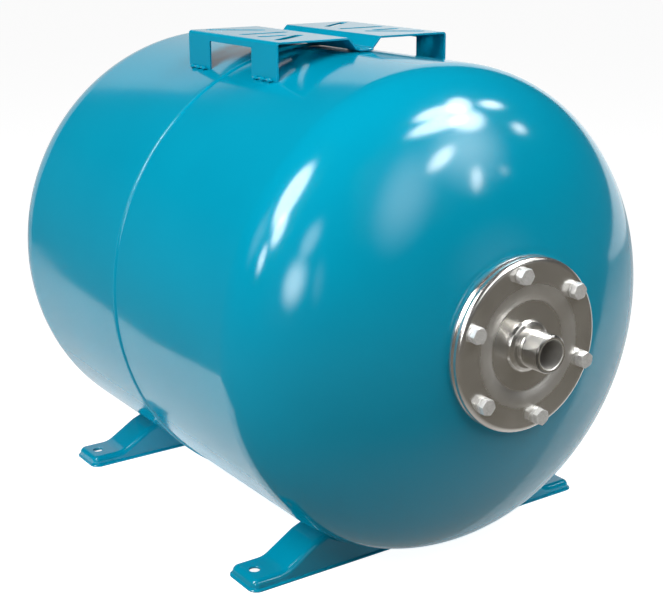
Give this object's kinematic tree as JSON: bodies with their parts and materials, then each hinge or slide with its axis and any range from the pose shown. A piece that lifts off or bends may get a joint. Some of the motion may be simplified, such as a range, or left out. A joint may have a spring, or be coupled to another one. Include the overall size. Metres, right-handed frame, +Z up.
{
  "type": "expansion vessel",
  "caption": "Horizontal steel pressure vessel with a bolted water flange, a rubber bladder, an air valve, two floor feet and a slotted pump bracket on its crown.",
  "frame": {"origin": "on the floor, under the middle of the vessel's width and length", "axes": "+X to the right seen from the flange end, +Y along the tank's axis from the flange to the air valve, +Z up"},
  "size_m": [0.4532, 0.7132, 0.4685],
  "materials": {
    "enamel": "glossy turquoise enamel",
    "bright_steel": "bright pressed and turned steel",
    "plain_steel": "plain machined steel",
    "zinc_plate": "zinc plated",
    "butyl_rubber": "matt moulded rubber",
    "brass": "machined brass",
    "spring_steel": "drawn wire",
    "black_plastic": "satin moulded plastic"
  },
  "bodies": {
    "vessel": {"front_shell": "enamel", "rear_shell": "enamel", "girth_weld": "enamel", "flange_plate": "bright_steel", "backing_ring": "bright_steel", "counter_flange": "plain_steel", "connection_nipple": "bright_steel", "nipple_weld": "bright_steel", "bladder": "butyl_rubber", "spring_washer_1": "zinc_plate", "flange_bolt_1": "zinc_plate", "spring_washer_2": "zinc_plate", "flange_bolt_2": "zinc_plate", "spring_washer_3": "zinc_plate", "flange_bolt_3": "zinc_plate", "spring_washer_4": "zinc_plate", "flange_bolt_4": "zinc_plate", "spring_washer_5": "zinc_plate", "flange_bolt_5": "zinc_plate", "spring_washer_6": "zinc_plate", "flange_bolt_6": "zinc_plate", "front_foot": "enamel", "front_foot_weld_left": "enamel", "front_foot_weld_right": "enamel", "rear_foot": "enamel", "rear_foot_weld_left": "enamel", "rear_foot_weld_right": "enamel", "pump_bracket": "enamel", "bracket_weld_front_left": "enamel", "bracket_weld_front_right": "enamel", "bracket_weld_rear_left": "enamel", "bracket_weld_rear_right": "enamel", "crown_weld_front": "enamel", "crown_weld_rear": "enamel", "valve_body": "brass", "valve_seal": "butyl_rubber", "valve_nut": "brass", "valve_core": "brass", "valve_spring": "spring_steel"},
    "pin": {"valve_pin": "brass"},
    "cap_lift_stage": {"valve_cap_seal": "butyl_rubber"},
    "cap": {"valve_cap": "black_plastic"},
    "guard": {"valve_guard": "black_plastic"}
  },
  "joints": [
    {"name": "pin_press", "type": "slide", "parent": "vessel", "child": "pin", "axis": [0, -1, 0], "range_m": [0, 0.0015], "stiffness_N_per_m": 1500, "springref_m": -0.002, "deforming": ["valve_spring"]},
    {"name": "cap_lift", "type": "slide", "parent": "vessel", "child": "cap_lift_stage", "axis": [0, 1, 0], "range_m": [0, 0.00477]},
    {"name": "cap_turn", "type": "hinge", "parent": "cap_lift_stage", "child": "cap", "pos_m": [0, 0.34334, 0.2298], "axis": [0, 1, 0], "range_deg": [0, 2160]},
    {"name": "guard_pull", "type": "slide", "parent": "vessel", "child": "guard", "axis": [0, 1, 0], "range_m": [0, 0.04]}
  ],
  "couplings": [
    {"joint": "cap_lift", "follows": "cap_turn", "m_per_rad": 0.00012637}
  ]
}
